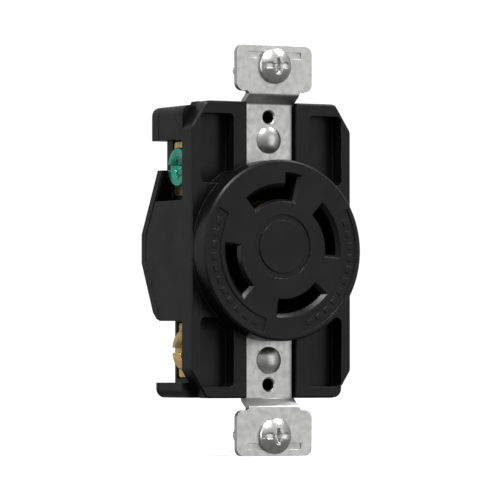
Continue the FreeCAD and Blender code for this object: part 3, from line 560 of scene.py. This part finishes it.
@dataclass(frozen=True)
class PressedFibre:
    """Vulcanised fibre sheet, punched to a washer.

    The eye sees a dry grey-buff card with short fibres and a slightly furred edge.
    """

    name: str = "vulcanised fibre, grey"
    colour: str = "#8B8880"
    fleck: str = "#6A675F"
    ior: float = 1.50
    roughness: float = 0.78
    furring: float = 0.15  # how much duller the punched edge is
    fibre_width: float = 0.18
    fibre_length: float = 1.4
    fibre_turn: tuple[float, float, float] = (0.0, 0.5, 0.0)
    edge_radius: float = 0.08
    edge_reach: float = 0.2
    relief: float = 0.5
    relief_depth: float = 0.04

    def make(self) -> bpy.types.Material:
        """Build the material."""
        material, tree, shader, place = start_material(self.name)
        shader.inputs["IOR"].default_value = self.ior
        rounded, edge = soft_edges(tree, self.edge_radius, self.edge_reach)
        along, across = 1 / (self.fibre_length * MM), 1 / (self.fibre_width * MM)
        stretched = add(
            tree,
            "ShaderNodeMapping",
            {},
            {"Vector": place, "Rotation": self.fibre_turn, "Scale": (along, across, across)},
        ).outputs[0]
        fibres = add(
            tree,
            "ShaderNodeTexNoise",
            {},
            {"Vector": stretched, "Scale": 1.0, "Detail": 3.0, "Roughness": 0.7},
        ).outputs[0]
        tone = add(
            tree,
            "ShaderNodeMix",
            {"data_type": "RGBA"},
            {0: fibres, 6: linear(self.colour), 7: linear(self.fleck)},
        ).outputs[2]
        tree.links.new(tone, shader.inputs["Base Color"])
        furred = add(
            tree,
            "ShaderNodeMath",
            {"operation": "MULTIPLY_ADD"},
            {0: edge, 1: self.furring, 2: self.roughness},
        ).outputs[0]
        tree.links.new(furred, shader.inputs["Roughness"])
        bump = add(
            tree,
            "ShaderNodeBump",
            {},
            {
                "Strength": self.relief,
                "Distance": self.relief_depth * MM,
                "Height": fibres,
                "Normal": rounded,
            },
        ).outputs[0]
        tree.links.new(bump, shader.inputs["Normal"])
        return material


@dataclass(frozen=True)
class Finishes:
    """Every material, by the record's slot names."""

    black_nylon: bpy.types.Material
    zinc_plated_steel: bpy.types.Material
    rivet_steel: bpy.types.Material
    zinc_plated_screw: bpy.types.Material
    brass: bpy.types.Material
    contact_brass: bpy.types.Material
    green_dyed_brass: bpy.types.Material
    spring_steel: bpy.types.Material
    vulcanised_fibre: bpy.types.Material


def make_finishes() -> Finishes:
    """Build every finish once."""
    strip = RolledMetal(
        "steel strip, bright zinc plated", "#C9C9C8", "#BBBBB9", "#E2E2E1", roughness=0.33, blotch_size=1.5
    )
    rivet = RolledMetal(
        "steel wire, zinc plated rivet",
        "#D2D2D0",
        "#B2B2B0",
        "#ECECEB",
        roughness=0.24,
        line_length=1.5,
        line_width=0.5,
        blotch_size=1.6,
    )
    screw = RolledMetal(
        "steel, cold headed and zinc plated",
        "#DCDCDA",
        "#BDBDBB",
        "#F2F2F1",
        roughness=0.22,
        line_length=1.2,
        line_width=0.4,
        blotch_size=1.5,
        along=(0.0, 1.0, 0.0),
    )
    brass = RolledMetal(
        "cartridge brass, rolled and stamped",
        "#E0C384",
        "#C2A063",
        "#F1DDA6",
        roughness=0.26,
        line_length=6.0,
        blotch_size=2.2,
        relief=0.2,
    )
    # The contacts' brass is painted near black as painted shade, so that the deep slots they sit in read
    # black.
    slot_shade_brass = RolledMetal(
        "cartridge brass, darkened as painted shade",
        "#2C2418",
        "#1C1710",
        "#403626",
        roughness=0.42,
        line_length=6.0,
        blotch_size=2.2,
        relief=0.2,
    )
    spring = RolledMetal(
        "spring steel strip, bright rolled", "#A8A8A6", "#868684", "#CFCFCD", roughness=0.24, line_length=8.0
    )
    return Finishes(
        black_nylon=MouldedNylon().make(),
        zinc_plated_steel=strip.make(),
        rivet_steel=rivet.make(),
        zinc_plated_screw=screw.make(),
        brass=brass.make(),
        contact_brass=slot_shade_brass.make(),
        green_dyed_brass=DyedBrass().make(),
        spring_steel=spring.make(),
        vulcanised_fibre=PressedFibre().make(),
    )


# ------------------------------------------------------------------ mesh helpers


def tube_mesh(name: str, rings: np.ndarray) -> bpy.types.Mesh:
    """Make a closed mesh from rings of points, with a pole at each end.

    Each ring joins the next by four-sided faces, the last point of a ring joins its first, and the first and
    last rings are closed by fans to their own centres.

    Args:
        name: The mesh's name.
        rings: Points as (ring, place round the ring, 3), in metres.

    Returns:
        The mesh, with faces outwards when the rings advance along +axis and turn counter-clockwise about it.
    """
    count, around = rings.shape[:2]
    poles = np.stack([rings[0].mean(axis=0), rings[-1].mean(axis=0)])
    points = np.concatenate([rings.reshape(-1, 3), poles])
    index = np.arange(count * around).reshape(count, around)
    beside = np.roll(index, -1, axis=1)
    quads = np.stack([index[:-1], beside[:-1], beside[1:], index[1:]], axis=-1).reshape(-1, 4)
    first = np.stack([beside[0], index[0], np.full(around, count * around)], axis=-1)
    last = np.stack([index[-1], beside[-1], np.full(around, count * around + 1)], axis=-1)
    mesh = bpy.data.meshes.new(name)
    mesh.from_pydata(points.tolist(), [], quads.tolist() + first.tolist() + last.tolist())
    mesh.update()
    return mesh


def threaded_rings(
    start: Vector,
    axis: Vector,
    length: float,
    root: float,
    crest: float,
    pitch: float,
    tip: float,
    bare: float,
) -> np.ndarray:
    """Work out a rolled screw thread as rings of points along its axis.

    At a distance s along the axis and an angle a round it, the ridge is a rounded triangle wave of
    s / pitch - a / turn, and the radius is the root plus the ridge times the thread's depth. The ridge fades
    in over one pitch after the bare length, and a cone at the tip caps the radius. Lengths are in metres.

    Args:
        start: Where the axis starts.
        axis: Unit direction from the head to the tip.
        length: Length along the axis.
        root: Radius at the thread's root.
        crest: Radius at its crest.
        pitch: Distance from one crest to the next.
        tip: Length of the tip's cone.
        bare: Length at the start with no thread.

    Returns:
        Points as (ring, place round the ring, 3), in metres.
    """
    count = int(length / pitch * RINGS_PER_PITCH) + 1
    s = np.linspace(0.0, length, count)[:, None]
    a = np.linspace(0.0, 2 * math.pi, THREAD_SIDES, endpoint=False)[None, :]
    phase = (s / pitch - a / (2 * math.pi)) % 1.0
    wave = 1.0 - np.abs(2.0 * phase - 1.0)
    ridge = np.clip(wave * RIDGE_GAIN - RIDGE_OFFSET, 0.0, 1.0)
    fade = np.clip((s - bare) / pitch, 0.0, 1.0)
    radius = root + (crest - root) * ridge * fade
    cone = crest - np.clip(s - (length - tip), 0.0, tip) * TIP_SLOPE
    radius = np.minimum(radius, cone)
    across = axis.orthogonal().normalized()
    upward = axis.cross(across)
    u, v, w = (np.array(d) for d in (across, upward, axis))
    ring = np.cos(a)[..., None] * u + np.sin(a)[..., None] * v
    return np.array(start) + radius[..., None] * ring + s[..., None] * w


def kept_end(node: str, at: Vector, outward: Vector) -> bmesh.types.BMesh:
    """Copy one end of a CAD node, cut square and closed at a plane.

    Args:
        node: The CAD node.
        at: A point on the cutting plane.
        outward: The plane's direction, towards the part that is left out.

    Returns:
        A merged, closed mesh of the part that stays.
    """
    shell = bmesh.new()
    shell.from_mesh(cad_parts[node].data)
    bmesh.ops.remove_doubles(shell, verts=shell.verts, dist=MERGE * MM)
    everything = shell.verts[:] + shell.edges[:] + shell.faces[:]
    cut = bmesh.ops.bisect_plane(shell, geom=everything, plane_co=at, plane_no=outward, clear_outer=True)
    rim = [e for e in cut["geom_cut"] if isinstance(e, bmesh.types.BMEdge)]
    bmesh.ops.contextual_create(shell, geom=rim)
    bmesh.ops.recalc_face_normals(shell, faces=shell.faces)
    return shell


def place_piece(name: str, mesh: bpy.types.Mesh, material: bpy.types.Material) -> bpy.types.Object:
    """Link a mesh as a piece, shaded smooth between creases.

    Args:
        name: The piece's name.
        mesh: Its mesh, in place.
        material: Its finish.

    Returns:
        The new object.
    """
    mesh.materials.clear()
    mesh.materials.append(material)
    mesh.polygons.foreach_set("use_smooth", np.ones(len(mesh.polygons), bool))
    mesh.set_sharp_from_angle(angle=math.radians(CREASE))
    piece = bpy.data.objects.new(name, mesh)
    bpy.context.scene.collection.objects.link(piece)
    return piece


def threaded_piece(
    name: str, node: str, at: Vector, axis: Vector, rings: np.ndarray, material: bpy.types.Material
) -> bpy.types.Object:
    """Make a screw from a CAD node's head and a thread worked out as rings.

    Args:
        name: The piece's name.
        node: The CAD node it stands for.
        at: Where the head's copy is cut from the shank.
        axis: Unit direction from the head to the tip.
        rings: The threaded shank.
        material: The screw's finish.

    Returns:
        The new object, standing for the node.
    """
    head = kept_end(node, at, axis)
    thread = tube_mesh(name + "_thread", rings)
    head.from_mesh(thread)
    bpy.data.meshes.remove(thread)
    mesh = bpy.data.meshes.new(name)
    head.to_mesh(mesh)
    head.free()
    piece = place_piece(name, mesh, material)
    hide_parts(node)
    return piece


def dress(node: str, material: bpy.types.Material) -> None:
    """Give a CAD node its finish."""
    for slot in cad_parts[node].material_slots:
        slot.material = material


# ------------------------------------------------------------------ sub-assemblies


@dataclass
class Housings:
    """The three nylon mouldings: the locking face's housing, the contact housing and the rear cover."""

    finishes: Finishes
    nodes: tuple[str, ...] = ("front_housing", "contact_housing", "rear_cover")

    def build(self) -> int:
        """Dress the mouldings.

        Returns:
            How many pieces were dressed.
        """
        for node in self.nodes:
            dress(node, self.finishes.black_nylon)
        return len(self.nodes)


@dataclass
class Strap:
    """The mounting strap with its two rivets."""

    finishes: Finishes
    rivets: tuple[str, ...] = ("strap_rivet_upper", "strap_rivet_lower")

    def build(self) -> int:
        """Dress the strap and its rivets.

        Returns:
            How many pieces were dressed.
        """
        dress("mounting_strap", self.finishes.zinc_plated_steel)
        for node in self.rivets:
            dress(node, self.finishes.rivet_steel)
        return 1 + len(self.rivets)


@dataclass
class MountingScrew:
    """One captive box screw and its fibre washer."""

    end: End
    finishes: Finishes
    crest: float = 1.74
    root: float = 1.37
    pitch: float = 0.794
    bare: float = 0.45  # neck with no thread, under the washer
    tip: float = 0.55
    cut: float = 0.9  # where the head's copy ends, past the ear's back plane

    def build(self) -> int:
        """Build the threaded screw and dress the washer.

        Returns:
            How many pieces were made or dressed.
        """
        place = self.end.name.lower()
        node = "mounting_screw_" + place
        low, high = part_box(node)
        middle = (low + high) / 2
        axis = Vector((0.0, 1.0, 0.0))
        cut = Vector((middle.x, self.cut * MM, middle.z))
        start = cut - axis * (HEAD_OVERLAP * MM)
        length = high.y - start.y
        sizes = (size * MM for size in (self.root, self.crest, self.pitch, self.tip, self.bare))
        rings = threaded_rings(start, axis, length, *sizes)
        screw = threaded_piece(node + "_threaded", node, cut, axis, rings, self.finishes.zinc_plated_screw)
        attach(screw, node)
        dress("screw_retainer_" + place, self.finishes.vulcanised_fibre)
        return 2


@dataclass
class Terminal:
    """One pole: contact, backing spring, nut, pressure plate and binding screw."""

    name: str
    side: Side
    finishes: Finishes
    slot_name: str = "brass"
    crest: float = 2.39
    root: float = 1.98
    pitch: float = 0.794
    tip: float = 0.6
    bare: float = 0.1
    head_height: float = 2.15
    under_head: float = 0.12  # where the head's copy ends, past its seat

    def build(self) -> int:
        """Build the threaded terminal screw and dress the other pieces.

        Returns:
            How many pieces were made or dressed.
        """
        # The contacts take the brass that is painted near black as painted shade of their slots.
        dress(self.name + "_contact", self.finishes.contact_brass)
        for part in ("_terminal_nut", "_pressure_plate"):
            dress(self.name + part, self.finishes.brass)
        dress(self.name + "_contact_spring", self.finishes.spring_steel)
        node = self.name + "_terminal_screw"
        low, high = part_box(node)
        middle = (low + high) / 2
        sign = self.side.value
        axis = Vector((-sign, 0.0, 0.0))
        outer = high.x if sign > 0 else low.x
        inner = low.x if sign > 0 else high.x
        seat = outer - sign * self.head_height * MM
        cut = Vector((seat - sign * self.under_head * MM, middle.y, middle.z))
        start = cut - axis * (HEAD_OVERLAP * MM)
        length = abs(start.x - inner)
        sizes = (size * MM for size in (self.root, self.crest, self.pitch, self.tip, self.bare))
        rings = threaded_rings(start, axis, length, *sizes)
        material = getattr(self.finishes, self.slot_name)
        screw = threaded_piece(node + "_threaded", node, cut, axis, rings, material)
        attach(screw, self.name + "_screw")
        return 5


# ------------------------------------------------------------------ studio


@dataclass(frozen=True)
class Softbox:
    """A flat lamp that faces the object's middle. Place and size are in metres."""

    name: str
    place: tuple[float, float, float]
    size: tuple[float, float]
    radiance: float

    def hang(self) -> None:
        """Make the lamp and link it at its place."""
        lamp = bpy.data.lights.new(self.name, "AREA")
        lamp.shape = "RECTANGLE"
        lamp.size, lamp.size_y = self.size
        lamp.energy = self.radiance * self.size[0] * self.size[1] * math.pi
        fixture = bpy.data.objects.new(self.name, lamp)
        fixture.location = self.place
        fixture.rotation_euler = Vector(self.place).to_track_quat("Z", "Y").to_euler()
        bpy.context.scene.collection.objects.link(fixture)


@dataclass
class Studio:
    """A pale floor, white surroundings, five softboxes and the camera."""

    yaw: float = 29.73  # degrees from straight on, camera to the left
    pitch: float = 1.47  # degrees that the camera looks up
    distance: float = 1000.0
    aside: float = 4.897  # how far the camera stands left of the object's middle
    raised: float = 0.17
    lens: float = 319.5
    sensor: float = 36.0
    near: float = 0.02  # metres, the nearest that the camera sees
    floor_size: float = 40.0  # metres, wide enough to have no edge in view
    floor_gap: float = 0.02
    floor_glow: float = 0.62  # lifts the paper to an even white
    backdrop: float = 1.05  # strength of the white surroundings as the camera sees them
    ambient: tuple[float, float] = (0.18, 0.60)  # their strength as light, from below and from above
    ambient_heights: tuple[float, float] = (-0.35, 0.75)
    softboxes: tuple[Softbox, ...] = (
        Softbox("top_left_box", (-0.30, -0.42, 0.88), (0.30, 0.30), 30.0),
        Softbox("top_right_box", (0.62, -0.16, 0.84), (0.34, 0.30), 15.0),
        Softbox("left_strip", (-0.92, -0.30, 0.10), (0.22, 0.80), 4.0),
        Softbox("back_left_box", (-0.62, 0.86, 0.12), (0.55, 0.80), 0.24),
        Softbox("right_box", (0.60, -0.95, 0.05), (0.70, 0.90), 0.92),
    )

    def build(self) -> int:
        """Make the camera, the floor, the world and the lights.

        Returns:
            How many lights there are.
        """
        self.make_camera()
        self.make_floor()
        self.make_world()
        for softbox in self.softboxes:
            softbox.hang()
        return len(self.softboxes)

    def make_camera(self) -> None:
        """Stand the camera so that its axes are turned by the yaw and the pitch."""
        yaw, pitch = math.radians(self.yaw), math.radians(self.pitch)
        right = Vector((math.cos(yaw), -math.sin(yaw), 0.0))
        forward = Vector((math.sin(yaw) * math.cos(pitch), math.cos(yaw) * math.cos(pitch), math.sin(pitch)))
        up = right.cross(forward)
        camera = bpy.data.objects.new("camera", bpy.data.cameras.new("camera"))
        camera.data.lens = self.lens
        camera.data.sensor_width = self.sensor
        camera.data.clip_start = self.near
        place = -forward * self.distance - right * self.aside + up * self.raised
        turn = Matrix((right, up, -forward)).transposed().to_4x4()
        camera.matrix_world = Matrix.Translation(place * MM) @ turn
        bpy.context.scene.collection.objects.link(camera)
        bpy.context.scene.camera = camera

    def make_floor(self) -> None:
        """Lay a pale floor just under the lower ear."""
        half = self.floor_size / 2
        height = CAD_LOW.z - self.floor_gap * MM
        mesh = bpy.data.meshes.new("floor")
        corners = [(-half, -half, height), (half, -half, height), (half, half, height), (-half, half, height)]
        mesh.from_pydata(corners, [], [(0, 1, 2, 3)])
        material, _, shader, _ = start_material("studio paper, white")
        shader.inputs["Base Color"].default_value = linear("#F4F4F4")
        shader.inputs["Roughness"].default_value = 0.9
        shader.inputs["Specular IOR Level"].default_value = 0.1
        shader.inputs["Emission Color"].default_value = (1.0, 1.0, 1.0, 1.0)
        shader.inputs["Emission Strength"].default_value = self.floor_glow
        mesh.materials.append(material)
        floor = bpy.data.objects.new("floor", mesh)
        bpy.context.scene.collection.objects.link(floor)
        floor.visible_glossy = False
        floor.visible_diffuse = False

    def make_world(self) -> None:
        """White surroundings, dimmer as a light on the object than as a background, and darkest below it."""
        world = bpy.data.worlds.new("studio")
        world.use_nodes = True
        tree = world.node_tree
        background = tree.nodes["Background"]
        background.inputs["Color"].default_value = (1.0, 1.0, 1.0, 1.0)
        towards = add(tree, "ShaderNodeTexCoord", {}, {}).outputs["Generated"]
        height = add(tree, "ShaderNodeSeparateXYZ", {}, {0: towards}).outputs["Z"]
        lit = add(
            tree,
            "ShaderNodeMapRange",
            {"clamp": True},
            {
                "Value": height,
                "From Min": self.ambient_heights[0],
                "From Max": self.ambient_heights[1],
                "To Min": self.ambient[0],
                "To Max": self.ambient[1],
            },
        ).outputs[0]
        seen = add(tree, "ShaderNodeLightPath", {}, {}).outputs["Is Camera Ray"]
        strength = add(
            tree, "ShaderNodeMix", {"data_type": "FLOAT"}, {0: seen, 2: lit, 3: self.backdrop}
        ).outputs[0]
        tree.links.new(strength, background.inputs["Strength"])
        bpy.context.scene.world = world


# ------------------------------------------------------------------ main


def main() -> None:
    """Build every sub-assembly in order and report each one."""
    logging.basicConfig(level=logging.INFO, format="%(name)s: %(message)s")
    lights = Studio().build()
    log.info("studio: camera, floor and %d lights", lights)
    finishes = make_finishes()
    log.info("housings: %d pieces", Housings(finishes).build())
    log.info("strap: %d pieces", Strap(finishes).build())
    for end in End:
        log.info("%s mounting screw: %d pieces", end.name.lower(), MountingScrew(end, finishes).build())
    terminals = (
        Terminal("ground", Side.LEFT, finishes, "green_dyed_brass"),
        Terminal("line_x", Side.RIGHT, finishes),
        Terminal("line_y", Side.RIGHT, finishes),
        Terminal("line_z", Side.LEFT, finishes),
    )
    for terminal in terminals:
        log.info("%s terminal: %d pieces", terminal.name, terminal.build())
    bpy.context.scene.view_settings.view_transform = "Standard"


if __name__ == "__main__":
    main()
